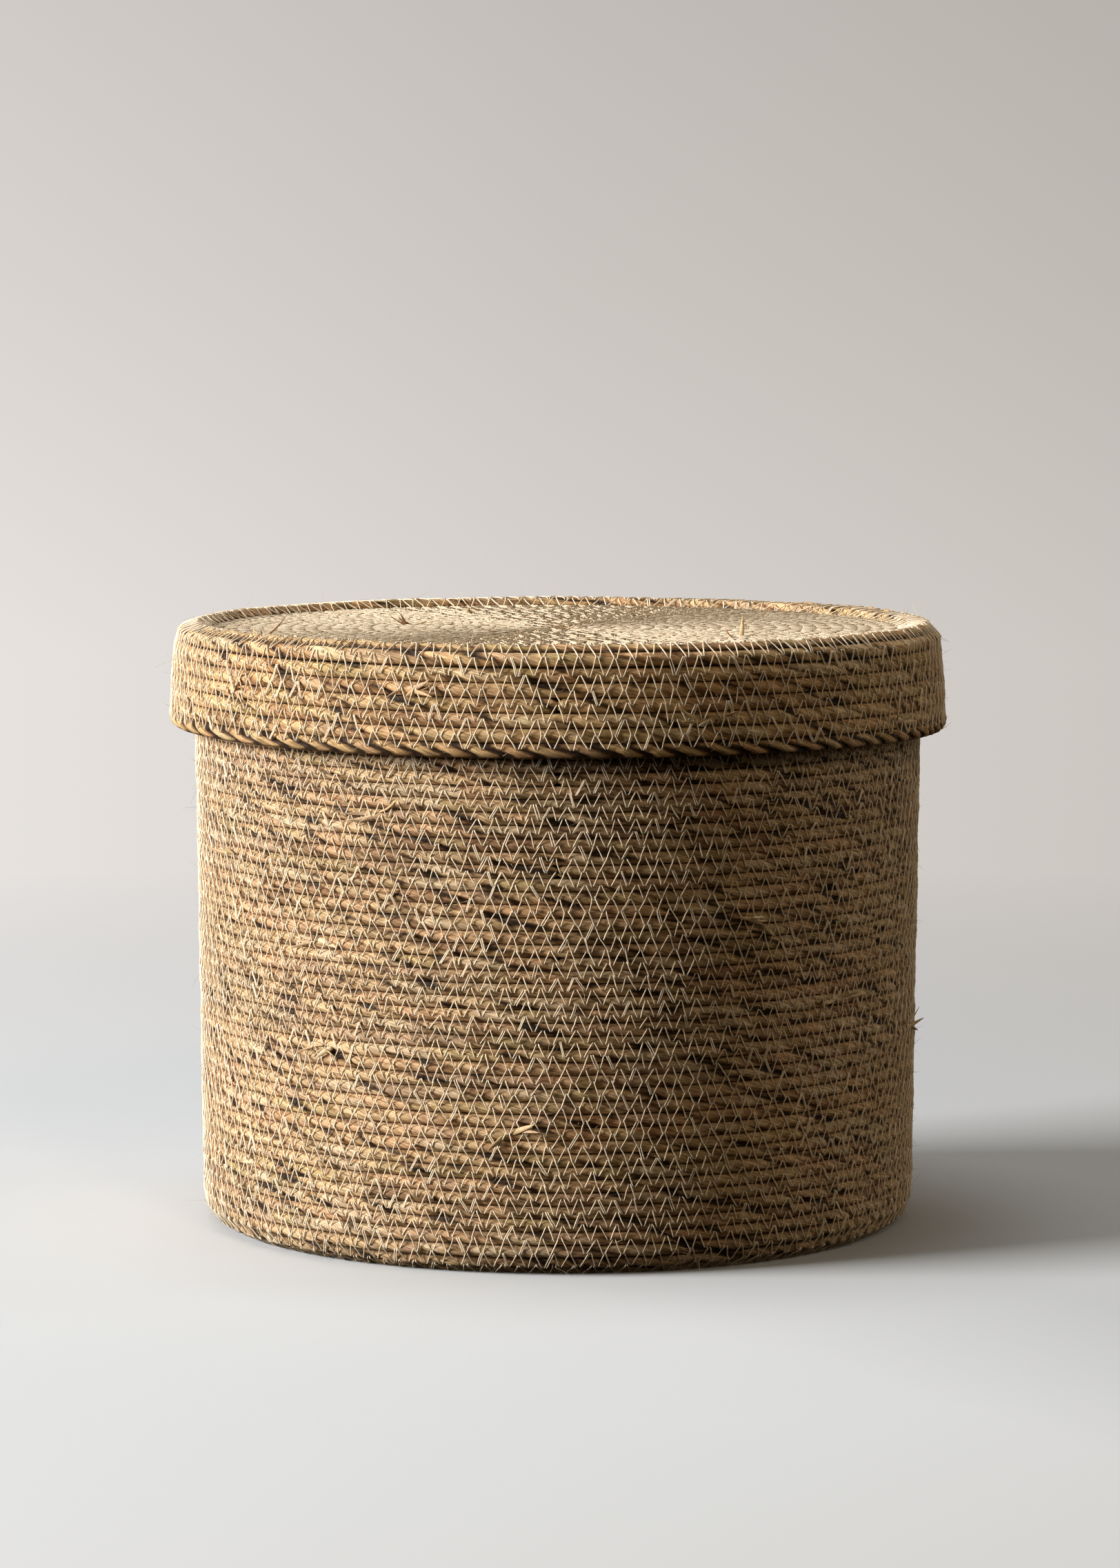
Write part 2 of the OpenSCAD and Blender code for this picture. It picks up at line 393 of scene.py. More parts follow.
def cord_maps(own, twist, sides, d):
    """Fibre: metres along the ply and round the cord. OFBake: the cord laid in rows on a square."""
    i, j = np.meshgrid(np.arange(len(own) - 1), np.arange(sides), indexing="ij")
    i, j = i.ravel(), j.ravel()
    ahead = np.stack([i, i, i + 1, i + 1], 1)
    beside = np.stack([j, j + 1, j + 1, j], 1)
    round_about = beside / sides * math.pi * d - (twist[ahead] / (2 * math.pi)) * math.pi * d
    fibre = np.stack([own[ahead], round_about], -1)
    rows = max(1, math.ceil(math.sqrt(own[-1] / (math.pi * d))))
    row_length = own[-1] / rows * 1.0001
    row = np.floor(own[i] / row_length)[:, None]
    bake = np.stack([(own[ahead] - row * row_length) / row_length * 0.98 + 0.01,
                     (row + 0.04 + 0.92 * beside / sides) / rows], -1)
    spot = np.zeros((2 * sides, 3, 2))
    spot[:, 1] = (0.002, 0)
    spot[:, 2] = (0, 0.002)
    return {"Fibre": [fibre, spot], "OFBake": [bake, spot + 0.001]}


def cord(name, coil, first, last, d, body, slot, lay=CORD_LAY, step=FINE_STEP, sides=16,
         shares=CORD_SHARES, loose=1.0, ply=CORD_PLY, tone=1.0, tail=False, lowest=None):
    """One length of two-ply cord, as a closed mesh along a coil from half turn first to last. loose
    scales how uneven it is, tail thins its end, and nothing of it goes below lowest."""
    seed = sum(ord(c) * (i + 7) for i, c in enumerate(name))
    start, end = coil.length_at(first), coil.length_at(last)
    s = np.linspace(start, end, int((end - start) / step) + 1)
    k = coil.turn_at(s)
    middle, _, outward, across = coil.frame(k)
    own = s - start
    pace = 0.38 * smooth_noise(own / (33 * MM), seed) + 0.22 * smooth_noise(own / (10 * MM), seed + 5)
    pace = 1 + loose * pace
    twist = np.concatenate([[0], np.cumsum(np.diff(s) / (lay * pace[1:]))]) * 2 * math.pi + seed
    turn = 2 * math.pi * np.arange(sides) / sides
    reach, colours = twisted_plies(own, twist, turn, ply, shares, loose, seed)
    both = (reach[0] ** 10 + reach[1] ** 10) ** 0.1
    grade = 1 + loose * 0.05 * smooth_noise(own / (60 * MM), seed + 61)
    grade = grade + 0.02 * loose * smooth_noise(own / (5 * MM), seed + 71)
    aside = np.abs(np.sin(turn))[None]
    pitch = np.linalg.norm(coil.section(k + 1) - coil.section(k - 1), axis=1)
    radius = pressed(d / 2 * both * grade[:, None], aside, pitch, d)
    shrink = np.minimum(1, 0.55 + 0.45 * np.minimum(own, own[-1] - own) / (2.5 * MM))
    if tail:
        shrink = np.minimum(shrink, 0.3 + 0.7 * np.clip((own[-1] - own) / (90 * MM), 0, 1))
        before = coil.section(k) - coil.section(k - 2)
        middle = middle - coil.spun(unit(before) * ((1 - shrink) * d / 2)[:, None], k)
    radius = radius * shrink[:, None]
    ring = outward[:, None] * np.cos(turn)[:, None] + across[:, None] * np.sin(turn)[:, None]
    verts = middle[:, None] + ring * radius[:, :, None]
    if lowest is not None:
        verts[:, :, 2] = np.maximum(verts[:, :, 2], lowest)
    verts = np.concatenate([verts.reshape(-1, 3), middle[:1], middle[-1:]])
    paint = leaf_paint(s, own, middle[:, 2], reach, both, colours, aside, tone, seed)
    paint = np.concatenate([paint, [CUT_END] * 2])
    rings, around = len(s), np.arange(sides)
    after = np.roll(around, -1)
    last_ring = (rings - 1) * sides
    caps = np.concatenate([
        np.stack([np.full(sides, rings * sides), after, around], 1),
        np.stack([np.full(sides, rings * sides + 1), around + last_ring, after + last_ring], 1),
    ])
    return new_piece(name, verts, [tube_faces(rings, sides), caps], body, [name],
                     CORD_LOOK[slot], colours=paint, uvs=cord_maps(own, twist, sides, d))


# ---------------------------------------------------------------------------------------------
# Sewing
# ---------------------------------------------------------------------------------------------
# A leg of thread rises out of one cord, lies over it, crosses the groove and goes into the next. Each
# pair of arrays is how far along the leg its points are, and how high. Hidden legs have fewer points.
LEG_AT = np.array([0.0, 0.03, 0.17, 0.5, 0.83, 0.97, 1.0])
LEG_RISE = np.array([-0.75, 0.05, 0.27, 0.12, 0.27, 0.05, -0.75]) * MM
SHORT_AT = np.array([0.0, 0.06, 0.5, 0.94, 1.0])
SHORT_RISE = np.array([-0.7, 0.1, 0.08, 0.1, -0.7]) * MM
# Holes: their depth as a part of the cord's radius, how far they stray, and how far short of the lip
# rope's crest they stay. Some legs are sewn twice.
HOLE_DEPTH = 0.985
HOLE_STRAY = 0.3 * MM
LIP_SHORT = 0.5 * MM
DOUBLED = 0.1
THREAD_TONES = (0.55, 1.0)


def stitches(name, coil, first, last, d, body, replaced, inside=False, sides=5, lip_from=None,
             lowest=None, tones=THREAD_TONES):
    """The zigzag over the groove between each turn and the next, from half turn first to last. Past
    lip_from its holes are short of the crest of the lip rope, which it doesn't cover."""
    rng = np.random.default_rng(sum(ord(c) * (i + 3) for i, c in enumerate(name)))
    start, end = coil.length_at(first), coil.length_at(last)
    s = np.arange(start, end, STITCH)
    s = s + rng.uniform(-0.19, 0.19, len(s)) * STITCH + 0.5 * MM * smooth_noise(s / (45 * MM), 5)
    k = coil.turn_at(s)
    odd = np.arange(len(k)) % 2 == 1
    at = np.where(odd, k + 2, k)
    middle, tangent, outward, _ = coil.frame(at)
    if inside:
        outward = -outward
    onward = unit(coil.frame(k + 2)[0] - coil.frame(k)[0])
    sign = np.where(odd, 1.0, -1.0)
    past = OVERSHOOT + rng.normal(0, HOLE_STRAY, len(k))
    if lip_from is not None:
        past = np.where(odd & (at > lip_from), rng.normal(0, HOLE_STRAY, len(k)) - LIP_SHORT, past)
    holes = middle + outward * (d / 2 * HOLE_DEPTH) + onward * (sign * past)[:, None]
    tip = tangent * (TIP_GAP * rng.uniform(0.3, 1.3, len(k)))[:, None]
    a, b = np.arange(len(k) - 1), np.arange(1, len(k))
    again = rng.random(len(a)) < DOUBLED
    shift = np.concatenate([np.zeros(len(a)), rng.uniform(0.5, 1.1, again.sum()) * MM])
    a, b = np.concatenate([a, a[again]]), np.concatenate([b, b[again]])
    leg_at, leg_rise = (LEG_AT, LEG_RISE) if sides > 3 else (SHORT_AT, SHORT_RISE)
    part = leg_at[None, :, None]
    normal = unit(outward[a][:, None] * (1 - part) + outward[b][:, None] * part)
    slack = rng.uniform(0.6, 1.25, len(a))[:, None] * np.maximum(leg_rise, 0) + np.minimum(leg_rise, 0)
    bow = rng.normal(0, 0.14 * MM, len(a))[:, None] * np.sin(math.pi * leg_at)[None]
    paths = (holes + tip)[a][:, None] * (1 - part) + (holes - tip)[b][:, None] * part
    paths = paths + normal * slack[:, :, None] + tangent[a][:, None] * (bow + shift[:, None])[:, :, None]
    # Where the coil bends, a leg bulges over the corner
    bend = 1 - (normal[:, 0] * normal[:, -1]).sum(-1)
    bulge = 0.12 * bend[:, None] * np.sin(math.pi * leg_at)[None] * d
    paths = paths + normal * bulge[:, :, None]
    if lowest is not None:
        paths[:, :, 2] = np.maximum(paths[:, :, 2], lowest)
    radii = np.full(paths.shape[:2], THREAD_R) * rng.uniform(0.85, 1.15, len(a))[:, None]
    radii[:, 0] *= 0.8
    radii[:, -1] *= 0.8
    verts, faces = tubes(paths, normal, radii, sides)
    # tones is the range of thread shades; on the lid's top the range is darker, as painted shade
    tone = np.repeat(rng.uniform(*tones, len(a)), len(leg_at) * sides)
    paint = np.stack([tone, tone, tone, np.ones_like(tone)], 1)
    return new_piece(name, verts, faces, body, replaced, THREAD, colours=paint,
                     uvs={"OFBake": patch_uvs(len(a), len(leg_at), sides)})


# ---------------------------------------------------------------------------------------------
# Loose fibre and splices
# ---------------------------------------------------------------------------------------------
HAIR_TAPER = np.array([1.0, 0.85, 0.65, 0.3])
HAIR_SIDES = 3
HAIRS_INSIDE = 0.12
LOWEST_HAIR = 0.15 * MM
LEAF_TAPER = np.array([0.8, 1, 1, 0.9, 0.75, 0.5, 0.15])
LEAF_SIDES = 8
LEAVES_A_SPLICE = 5
LEAF_FLATNESS = 0.72


def fuzz(name, coil, ranges, d, body, material, seed):
    """Loose fibre ends that stand off the cord. ranges is a list of (first, last, hairs a metre)."""
    rng = np.random.default_rng(seed)
    spans = [(coil.length_at(a), coil.length_at(b), n) for a, b, n in ranges]
    s = np.concatenate([rng.uniform(start, end, int((end - start) * n)) for start, end, n in spans])
    count, points = len(s), len(HAIR_TAPER)
    middle, tangent, outward, across = coil.frame(coil.turn_at(s))
    turn = rng.uniform(-1.3, 1.3, count) + math.pi * (rng.random(count) < HAIRS_INSIDE)
    normal = outward * np.cos(turn)[:, None] + across * np.sin(turn)[:, None]
    side = np.cross(tangent, normal)
    heading = rng.uniform(0, 2 * math.pi, count)
    flat = unit(tangent * np.cos(heading)[:, None] + side * (0.7 * np.sin(heading))[:, None])
    lift = np.clip(rng.normal(0.35, 0.28, count), 0.03, 1.1)
    way = unit(flat + normal * lift[:, None])
    length = np.clip(rng.exponential(2.2, count) + 1.2, 1.2, 9) * MM
    part = np.linspace(0, 1, points)
    curl = rng.normal(0, 0.3, (count, 3))
    root = middle + normal * (d / 2 * 0.93)
    paths = root[:, None] + way[:, None] * (length[:, None] * part)[:, :, None]
    paths = paths + (curl * length[:, None])[:, None] * (part**2)[None, :, None]
    paths[:, :, 2] = np.maximum(paths[:, :, 2], LOWEST_HAIR)
    radii = rng.uniform(0.05, 0.1, count)[:, None] * MM * HAIR_TAPER[None]
    verts, faces = tubes(paths, np.repeat(normal[:, None], points, axis=1), radii, HAIR_SIDES)
    tone = np.repeat(rng.uniform(0, 1, count), points * HAIR_SIDES)
    paint = np.stack([tone, tone, tone, np.ones_like(tone)], 1)
    return new_piece(name, verts, faces, body, None, material, colours=paint,
                     uvs={"OFBake": patch_uvs(count, points, HAIR_SIDES)})


def splices(name, coil, places, d, body, material, seed):
    """Leaf ends that stick out where a new length was fed in. places is a list of half turns."""
    rng = np.random.default_rng(seed)
    k = np.repeat(np.asarray(places, float), LEAVES_A_SPLICE)
    count, points = len(k), len(LEAF_TAPER)
    k = k + rng.normal(0, 0.006, count)
    middle, tangent, outward, across = coil.frame(k)
    turn = rng.normal(0, 0.5, count)
    normal = outward * np.cos(turn)[:, None] + across * np.sin(turn)[:, None]
    forward = np.where(rng.random(count) < 0.6, 1.0, -1.0)[:, None]
    flat = unit(tangent * forward + across * rng.normal(0, 0.35, count)[:, None])
    length = rng.uniform(5, 14, count) * MM
    part = np.linspace(0, 1, points)
    lift = rng.uniform(0.1, 0.55, count)
    root = middle + normal * (d / 2 * 0.85)
    paths = root[:, None] + flat[:, None] * (length[:, None] * part)[:, :, None]
    paths = paths + normal[:, None] * (length[:, None] * lift[:, None] * part**1.6)[:, :, None]
    paths = paths + (rng.normal(0, 0.2, (count, 3)) * length[:, None])[:, None] * (part**2)[None, :, None]
    width = rng.uniform(0.6, 1.3, count)[:, None] * MM
    radii = width * LEAF_TAPER[None]
    verts, faces = tubes(paths, np.repeat(normal[:, None], points, axis=1), radii, LEAF_SIDES)
    # Each leaf is flattened towards its own middle line
    a_leaf = points * LEAF_SIDES
    off = verts - np.repeat(paths.reshape(-1, 3), LEAF_SIDES, axis=0)
    thick = np.repeat(normal, a_leaf, axis=0)
    verts = verts - thick * ((off * thick).sum(1) * LEAF_FLATNESS)[:, None]
    # The darkest colour, the last one, isn't used for ends
    kinds = LEAVES[rng.choice(len(LEAVES) - 1, count)] * rng.uniform(0.85, 1.15, count)[:, None]
    paint = np.concatenate([np.repeat(kinds, a_leaf, axis=0), np.ones((count * a_leaf, 1))], 1)
    return new_piece(name, verts, faces, body, None, material, colours=paint,
                     uvs={"OFBake": patch_uvs(count, points, LEAF_SIDES)})


# ---------------------------------------------------------------------------------------------
# Materials
# ---------------------------------------------------------------------------------------------
# A mix node has a set of sockets for each kind of value: these are the ones for colours
MIX_FACTOR, MIX_A, MIX_B, MIX_RESULT = 0, 6, 7, 2


def new_material(name):
    """A material with its node tree and its shader."""
    mat = bpy.data.materials.new(name)
    mat.use_nodes = True
    tree = mat.node_tree
    return mat, tree, tree.nodes["Principled BSDF"]


def add(tree, kind, inputs=None, **settings):
    """A node with its settings, and its sockets set to a number or linked to another's output."""
    node = tree.nodes.new(kind)
    for key, value in settings.items():
        setattr(node, key, value)
    for key, value in (inputs or {}).items():
        if isinstance(value, bpy.types.NodeSocket):
            tree.links.new(value, node.inputs[key])
        else:
            node.inputs[key].default_value = value
    return node


def colour_ramp(tree, factor, stops):
    """The colour at factor between stops, a list of (position, colour)."""
    node = add(tree, "ShaderNodeValToRGB", {"Fac": factor})
    ramp = node.color_ramp
    while len(ramp.elements) < len(stops):
        ramp.elements.new(0.5)
    for element, (at, colour) in zip(ramp.elements, stops):
        element.position = at
        element.color = (*colour, 1)
    return node.outputs["Color"]


def multiply(tree, a, b):
    """Colour a times colour b."""
    node = add(tree, "ShaderNodeMix", {MIX_FACTOR: 1.0, MIX_A: a, MIX_B: b},
               data_type="RGBA", blend_type="MULTIPLY")
    return node.outputs[MIX_RESULT]


def streaks(tree, vector, along, around, detail):
    """Noise drawn out along the fibre: features about 1/along metres long and 1/around wide."""
    place = add(tree, "ShaderNodeMapping", {"Vector": vector, "Scale": (along, around, 1.0)})
    noise = add(tree, "ShaderNodeTexNoise", {
        "Vector": place.outputs[0], "Scale": 1.0, "Detail": detail, "Roughness": 0.6})
    return noise.outputs["Fac"]


FINE_SHADES = [(0.36, (0.50, 0.43, 0.34)), (0.50, (0.96, 0.95, 0.93)), (0.66, (1.10, 1.09, 1.07))]
BROAD_SHADES = [(0.36, (0.56, 0.49, 0.41)), (0.50, (0.96, 0.95, 0.93)), (0.64, (1.12, 1.11, 1.09))]
BLOTCHES = [(0.3, (0.93, 0.93, 0.87)), (0.5, (1, 1, 1)), (0.72, (1.06, 1.0, 0.97))]


def cord_material(name, tint, painted_crease_shade=0.05):
    """Dry leaf: each leaf's own colour, fine streaks along the fibre, blotches, and painted shade that
    darkens the creases.
    """
    mat, tree, shader = new_material(name)
    leaf = add(tree, "ShaderNodeVertexColor", layer_name="ColourAndCreaseShade")
    fibre = add(tree, "ShaderNodeUVMap", uv_map="Fibre").outputs[0]
    place = add(tree, "ShaderNodeTexCoord").outputs["Object"]
    fine = streaks(tree, fibre, 130, 3200, 4)
    broad = streaks(tree, fibre, 45, 900, 3)
    blotch = add(tree, "ShaderNodeTexNoise", {"Vector": place, "Scale": 60.0, "Detail": 3.0}).outputs["Fac"]
    # Painted shade: where the alpha is 0 the leaf is darkened almost to black, in the creases and grooves
    painted_crease_shades = [(0.0, (painted_crease_shade, painted_crease_shade * 0.7, painted_crease_shade * 0.45)), (0.45, (0.58, 0.49, 0.38)), (0.85, (1, 1, 1))]
    colour = leaf.outputs["Color"]
    shades = [
        (fine, FINE_SHADES), (broad, BROAD_SHADES), (blotch, BLOTCHES), (leaf.outputs["Alpha"], painted_crease_shades)]
    for factor, stops in shades:
        colour = multiply(tree, colour, colour_ramp(tree, factor, stops))
    colour = multiply(tree, colour, (*tint, 1))
    tree.links.new(colour, shader.inputs["Base Color"])
    bump = add(tree, "ShaderNodeBump", {"Height": fine, "Strength": 0.9, "Distance": 0.45 * MM})
    bump = add(tree, "ShaderNodeBump", {
        "Height": broad, "Strength": 1.0, "Distance": 1.2 * MM, "Normal": bump.outputs[0]})
    tree.links.new(bump.outputs[0], shader.inputs["Normal"])
    shader.inputs["Roughness"].default_value = 0.62
    shader.inputs["Specular IOR Level"].default_value = 0.35
    return mat


def thread_material(name, dark, light):
    """Thin fibre whose shade differs a little from one stretch to the next."""
    mat, tree, shader = new_material(name)
    tone = add(tree, "ShaderNodeVertexColor", layer_name="ColourAndCreaseShade")
    place = add(tree, "ShaderNodeTexCoord").outputs["Object"]
    grain = add(tree, "ShaderNodeTexNoise", {"Vector": place, "Scale": 900.0, "Detail": 2.0}).outputs["Fac"]
    colour = colour_ramp(tree, tone.outputs["Color"], [(0.0, dark), (1.0, light)])
    shades = [(0.3, (0.82, 0.79, 0.74)), (0.65, (1.05, 1.04, 1.02))]
    colour = multiply(tree, colour, colour_ramp(tree, grain, shades))
    tree.links.new(colour, shader.inputs["Base Color"])
    shader.inputs["Roughness"].default_value = 0.6
    shader.inputs["Specular IOR Level"].default_value = 0.35
    return mat


def leaf_material(name):
    """Dry leaf ends, plainer than the leaf in the cord."""
    mat, tree, shader = new_material(name)
    leaf = add(tree, "ShaderNodeVertexColor", layer_name="ColourAndCreaseShade")
    place = add(tree, "ShaderNodeTexCoord").outputs["Object"]
    grain = add(tree, "ShaderNodeTexNoise", {"Vector": place, "Scale": 700.0, "Detail": 3.0}).outputs["Fac"]
    shades = [(0.3, (0.7, 0.66, 0.6)), (0.65, (1.05, 1.04, 1.0))]
    colour = multiply(tree, leaf.outputs["Color"], colour_ramp(tree, grain, shades))
    tree.links.new(colour, shader.inputs["Base Color"])
    shader.inputs["Roughness"].default_value = 0.65
    return mat


CORD_LOOK = {
    "basket_cord": cord_material("basket_leaf", (1.14, 1.14, 1.18)),
    "lid_cord": cord_material("lid_leaf", (1.33, 1.32, 1.27)),
    "lip_rope": cord_material("lip_leaf", (1.24, 1.20, 1.08), painted_crease_shade=0.07),
}
THREAD = thread_material("sewing_thread", (0.63, 0.52, 0.37), (0.94, 0.82, 0.64))
FUZZ = thread_material("loose_fibre", (0.52, 0.40, 0.25), (0.80, 0.66, 0.46))
LEAF_END = leaf_material("leaf_end")


# ---------------------------------------------------------------------------------------------
# The basket and its lid
# ---------------------------------------------------------------------------------------------
# The sewing starts this many half turns from the middle, and stops this far before the cord's last turn
SEWING_FIRST = 0.3
SEWING_SHORT = 0.05


def build_basket():
    plain = dict(body="basket", slot="basket_cord")
    hidden = dict(step=COARSE_STEP, sides=10, lowest=FLOOR_CLEAR, **plain)
    cord("base_centre_cord", BASKET, 0, CENTRE_HALF_TURNS, CORD_D, **hidden)
    cord("base_cord", BASKET, CENTRE_HALF_TURNS, HEEL_FIRST, CORD_D, **hidden)
    cord("heel_cord", BASKET, HEEL_FIRST, WALL_FIRST, CORD_D, lowest=FLOOR_CLEAR, **plain)
    for i in range(WALL_LENGTHS):
        cord(f"wall_cord_{i + 1}", BASKET, wall_splice(i), wall_splice(i + 1), CORD_D, **plain)
    cord("rim_cord", BASKET, RIM_FIRST, BASKET.last, CORD_D, tail=True, **plain)
    base_end = HEEL_FIRST - 1
    stitches("base_needle_stitches", BASKET, SEWING_FIRST, base_end, CORD_D, "basket",
             ["base_needle_thread"], sides=3, lowest=FLOOR_CLEAR)
    stitches("base_bobbin_stitches", BASKET, SEWING_FIRST, base_end, CORD_D, "basket",
             ["base_bobbin_thread"], inside=True, sides=3)
    for i in range(THREAD_LENGTHS):
        start, end = thread_splice(i), thread_splice(i + 1)
        half = (start + end) / 2
        if i == 0:
            start = base_end
        if i == THREAD_LENGTHS - 1:
            end = end - SEWING_SHORT
        needle, bobbin = f"wall_needle_thread_{i + 1}", f"wall_bobbin_thread_{i + 1}"
        stitches(f"wall_needle_stitches_{i + 1}a", BASKET, start, half, CORD_D, "basket",
                 [needle], lowest=FLOOR_CLEAR)
        stitches(f"wall_needle_stitches_{i + 1}b", BASKET, half, end, CORD_D, "basket",
                 [needle], lowest=FLOOR_CLEAR)
        stitches(f"wall_bobbin_stitches_{i + 1}", BASKET, start, end, CORD_D, "basket",
                 [bobbin], inside=True, sides=3)
    fuzz("basket_fuzz", BASKET, [(HEEL_FIRST - 2, WALL_FIRST + 2, 260), (WALL_FIRST + 2, BASKET.last, 110)],
         CORD_D, "basket", FUZZ, 3)
    splices("basket_splices", BASKET, BASKET_SPLICES, CORD_D, "basket", LEAF_END, 4)


def build_lid():
    plain = dict(body="lid", slot="lid_cord")
    # The top's cords and threads are painted darker, as painted shade
    cord("lid_centre_cord", LID, 0, CENTRE_HALF_TURNS, LID_CORD_D, sides=12, tone=TOP_PAINTED_SHADE, **plain)
    cord("lid_top_cord", LID, CENTRE_HALF_TURNS, EDGE_FIRST, LID_CORD_D, step=LID_TOP_STEP, sides=12,
         tone=TOP_PAINTED_SHADE, **plain)
    cord("lid_edge_cord", LID, EDGE_FIRST, SKIRT_FIRST, LID_CORD_D, **plain)
    cord("lid_skirt_cord_upper", LID, SKIRT_FIRST, SKIRT_SPLICE, LID_CORD_D, **plain)
    cord("lid_skirt_cord_lower", LID, SKIRT_SPLICE, LIP_FIRST, LID_CORD_D, **plain)
    cord("lid_lip_rope", LID, LIP_FIRST, LID.last, LIP_D, "lid", "lip_rope", lay=LIP_LAY, sides=18, loose=0.5,
         ply=LIP_PLY, shares=LIP_SHARES, tail=True)
    top_end, skirt_end = EDGE_FIRST - 1, LID.last - 2 - SEWING_SHORT
    stitches("lid_top_needle_stitches", LID, SEWING_FIRST, top_end, LID_CORD_D, "lid",
             ["lid_top_needle_thread"], sides=4, tones=TOP_SHADED_THREAD_TONES)
    stitches("lid_top_bobbin_stitches", LID, SEWING_FIRST, top_end, LID_CORD_D, "lid",
             ["lid_top_bobbin_thread"], inside=True, sides=3)
    stitches("lid_skirt_needle_stitches", LID, top_end, skirt_end, LID_CORD_D, "lid",
             ["lid_skirt_needle_thread"], lip_from=LIP_FIRST)
    stitches("lid_skirt_bobbin_stitches", LID, top_end, skirt_end, LID_CORD_D, "lid",
             ["lid_skirt_bobbin_thread"], inside=True, sides=3, lip_from=LIP_FIRST)
    fuzz("lid_fuzz", LID, [(0, EDGE_FIRST, 240), (EDGE_FIRST, LIP_FIRST, 200), (LIP_FIRST, LID.last, 80)],
         LID_CORD_D, "lid", FUZZ, 6)
    splices("lid_splices", LID, LID_SPLICES, LID_CORD_D, "lid", LEAF_END, 8)


def half_turn_near(coil, height, degrees, first):
    """The half turn of a wall or skirt that passes nearest a height on the side that faces degrees."""
    k = np.arange(first, coil.last, 0.01)
    turn = np.degrees(math.pi / 2 + math.pi * (k - coil.last))
    off = np.abs((turn - degrees + 180) % 360 - 180)
    miss = np.abs(coil.section(k)[:, 1] - height) / (CORD_D / 2) + off / 1.5
    return float(k[np.argmin(miss)])


# Where splices show: height in millimetres, and the way they face in degrees, with the front at 270.
# The ones in the lid's top are given by half turn.
BASKET_SPLICES = [half_turn_near(BASKET, h * MM, a, WALL_FIRST) for h, a in (
    (195, 286), (192, 242), (138, 229), (95, 230), (150, 300), (60, 262), (110, 318), (172, 205),
    (40, 212), (120, 30), (70, 75), (180, 110), (140, 150), (50, 160), (200, 60), (90, 348))]
LID_SPLICES = [half_turn_near(LID, h * MM, a, SKIRT_FIRST) for h, a in (
    (245, 250), (232, 292), (238, 215), (228, 330), (240, 20), (230, 95), (246, 150))]
LID_SPLICES += [44.6, 31.3, 22.4, 38.1]

build_basket()
build_lid()


# ---------------------------------------------------------------------------------------------
# Floor, light and camera
# ---------------------------------------------------------------------------------------------
FLOOR_R = 3.4
BACKDROP_R = 6
BACKDROP_SIDES = 64
BACKDROP_LEVELS = 32
# The floor fades into the backdrop between these distances from the basket
FADE_FROM, FADE_TO = 0.45, 1.4
# Colours by place: the floor from left to right, with painted shade and shadow to the right of the basket;
# the backdrop's painted glow from left to right and from low to high
FLOOR_PAINTED_SHADE_ACROSS = [
    (0.0, (0.69, 0.725, 0.755)), (0.3, (0.70, 0.73, 0.76)),
    (0.6, (0.58, 0.605, 0.63)), (1.0, (0.60, 0.62, 0.64))]
BACKDROP_GLOW_ACROSS = [(0.0, (0.70, 0.665, 0.64)), (0.5, (0.60, 0.56, 0.53)), (1.0, (0.52, 0.485, 0.45))]
BACKDROP_GLOW_UP = [(0.0, (1.15, 1.16, 1.17)), (0.55, (1.0, 1.0, 1.0)), (1.0, (0.90, 0.90, 0.90))]
SKY_COLOUR, SKY_STRENGTH = (1.0, 0.82, 0.60, 1), 0.026
# Square lamps: name, place, what it points at, side, watts, colour
LAMPS = [
    ("key_left", (-4.75, -1.3, 1.75), (0, 0, 0.12), 2.4, 575, (1.0, 0.975, 0.95)),
    ("fill_front", (1.0, -3.0, 2.4), (0, 0, 0.12), 0.6, 14, (1.0, 0.80, 0.54)),
    ("edge_right", (2.3, 0.5, 0.8), (0, 0, 0.12), 0.8, 10, (1.0, 0.88, 0.72)),
    ("top_soft", (-0.2, 0.25, 2.8), (0, 0.05, 0.1), 1.2, 21, (1.0, 0.98, 0.96)),
]
# The camera as fitted to the photo: where it is, how many degrees it looks down, lens and sensor in mm
CAMERA_AT = (0.001, -2.5365, 0.4368)
CAMERA_DOWN = 5.52
CAMERA_LENS, CAMERA_SENSOR = 132.8, 36.0


def stage_piece(name, verts, faces, material):
    """A part of the studio. It is seen, but it doesn't light the basket."""
    mesh = bpy.data.meshes.new(name)
    mesh.from_pydata(verts, [], faces)
    mesh.materials.append(material)
    thing = bpy.data.objects.new(name, mesh)
    bpy.context.scene.collection.objects.link(thing)
    thing.visible_diffuse = thing.visible_glossy = False
    return thing


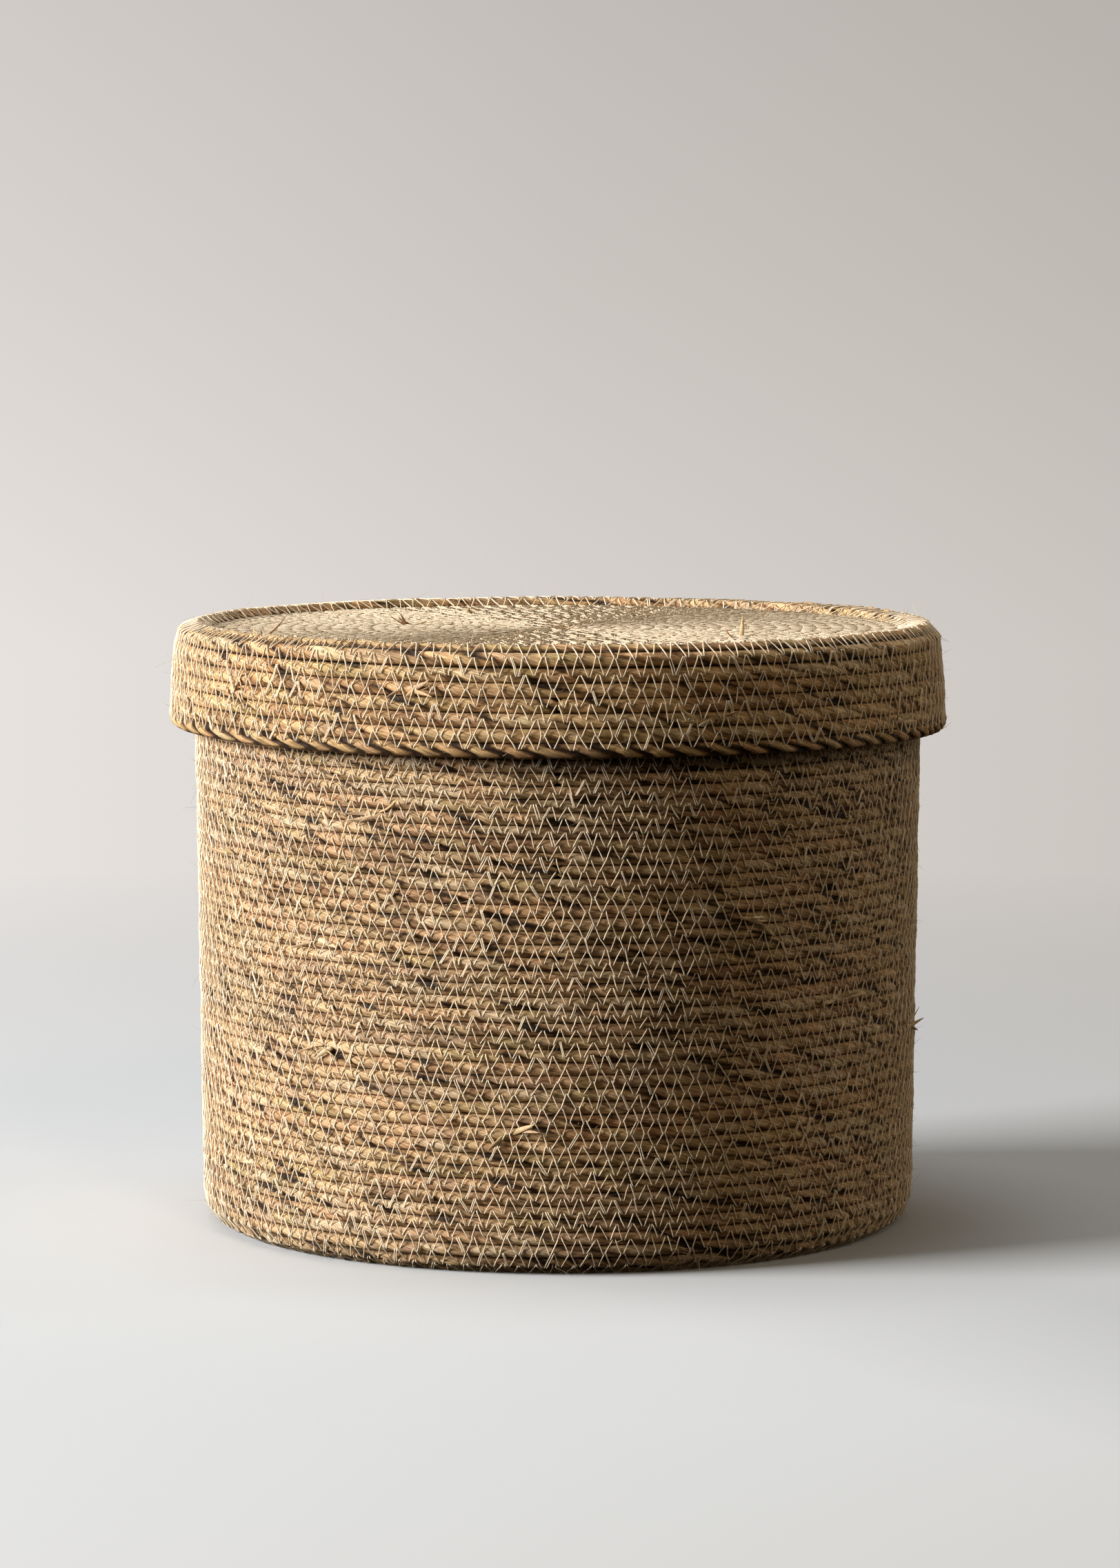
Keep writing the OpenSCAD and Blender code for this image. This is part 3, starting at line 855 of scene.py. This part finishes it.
def build_floor():
    """A pale floor with painted shadow and shade, darker to the right of the basket and behind it as
    photographed.
    """
    mat, tree, shader = new_material("pale_floor_painted_shade")
    place = add(tree, "ShaderNodeTexCoord").outputs["Object"]
    far = add(tree, "ShaderNodeVectorMath", {0: place}, operation="LENGTH").outputs["Value"]
    fade = add(tree, "ShaderNodeMapRange", {
        "Value": far, "From Min": FADE_FROM, "From Max": FADE_TO, "To Min": 1.0, "To Max": 0.0})
    tree.links.new(fade.outputs[0], shader.inputs["Alpha"])
    split = add(tree, "ShaderNodeSeparateXYZ", {"Vector": place})
    # Painted shade: the ramp darkens the floor to the right of the basket and behind it, and leaves it
    # lighter in front
    in_front = add(tree, "ShaderNodeMath", {0: split.outputs["Y"], 1: 0.0}, operation="MINIMUM")
    shaded = add(tree, "ShaderNodeMath", {
        0: in_front.outputs[0], 1: 0.6, 2: split.outputs["X"]}, operation="MULTIPLY_ADD")
    across = add(tree, "ShaderNodeMapRange", {"Value": shaded.outputs[0], "From Min": -0.3, "From Max": 0.35})
    colour = colour_ramp(tree, across.outputs[0], FLOOR_PAINTED_SHADE_ACROSS)
    tree.links.new(colour, shader.inputs["Base Color"])
    shader.inputs["Roughness"].default_value = 0.9
    shader.inputs["Specular IOR Level"].default_value = 0.1
    turn = 2 * math.pi * np.arange(96) / 96
    ring = [(FLOOR_R * math.cos(t), FLOOR_R * math.sin(t), 0.0) for t in turn]
    stage_piece("studio_floor", ring, [tuple(range(len(ring)))], mat)


def build_backdrop():
    """A pale glowing screen all round, its painted light brighter on the left and low down as photographed.
    """
    mat, tree, shader = new_material("glowing_backdrop")
    place = add(tree, "ShaderNodeTexCoord").outputs["Object"]
    split = add(tree, "ShaderNodeSeparateXYZ", {"Vector": place})
    across = add(tree, "ShaderNodeMapRange", {"Value": split.outputs["X"], "From Min": -0.9, "From Max": 0.9})
    up = add(tree, "ShaderNodeMapRange", {"Value": split.outputs["Z"], "From Min": -0.2, "From Max": 0.8})
    side = colour_ramp(tree, across.outputs[0], BACKDROP_GLOW_ACROSS)
    colour = multiply(tree, side, colour_ramp(tree, up.outputs[0], BACKDROP_GLOW_UP))
    shader.inputs["Base Color"].default_value = (0, 0, 0, 1)
    shader.inputs["Roughness"].default_value = 1.0
    shader.inputs["Specular IOR Level"].default_value = 0.0
    # Painted light: the screen's colour is its glow
    tree.links.new(colour, shader.inputs["Emission Color"])
    shader.inputs["Emission Strength"].default_value = 1.0
    sides = BACKDROP_SIDES
    turn = 2 * math.pi * np.arange(sides) / sides
    verts = []
    for level in range(BACKDROP_LEVELS + 1):
        lean = (level - BACKDROP_LEVELS // 2) * math.pi / BACKDROP_LEVELS
        wide, high = BACKDROP_R * math.cos(lean), BACKDROP_R * math.sin(lean)
        verts += [(wide * math.cos(t), wide * math.sin(t), high) for t in turn]
    faces = tube_faces(BACKDROP_LEVELS + 1, sides).tolist()
    screen = stage_piece("studio_backdrop", verts, faces, mat)
    screen.visible_shadow = False


def area_light(name, place, target, size, power, colour):
    data = bpy.data.lights.new(name, "AREA")
    data.shape = "RECTANGLE"
    data.size = data.size_y = size
    data.energy, data.color = power, colour
    lamp = bpy.data.objects.new(name, data)
    lamp.location = place
    lamp.rotation_euler = (Vector(target) - Vector(place)).to_track_quat("-Z", "Y").to_euler()
    lamp.visible_camera = False
    bpy.context.scene.collection.objects.link(lamp)


def build_light():
    world = bpy.data.worlds.new("studio")
    bpy.context.scene.world = world
    world.use_nodes = True
    sky = world.node_tree.nodes["Background"]
    sky.inputs["Color"].default_value = SKY_COLOUR
    sky.inputs["Strength"].default_value = SKY_STRENGTH
    for lamp in LAMPS:
        area_light(*lamp)


def build_camera():
    data = bpy.data.cameras.new("camera")
    data.lens, data.sensor_width = CAMERA_LENS, CAMERA_SENSOR
    camera = bpy.data.objects.new("camera", data)
    camera.location = CAMERA_AT
    camera.rotation_euler = (math.pi / 2 - math.radians(CAMERA_DOWN), 0, 0)
    bpy.context.scene.collection.objects.link(camera)
    bpy.context.scene.camera = camera


build_floor()
build_backdrop()
build_light()
build_camera()
bpy.context.scene.view_settings.view_transform = "Standard"
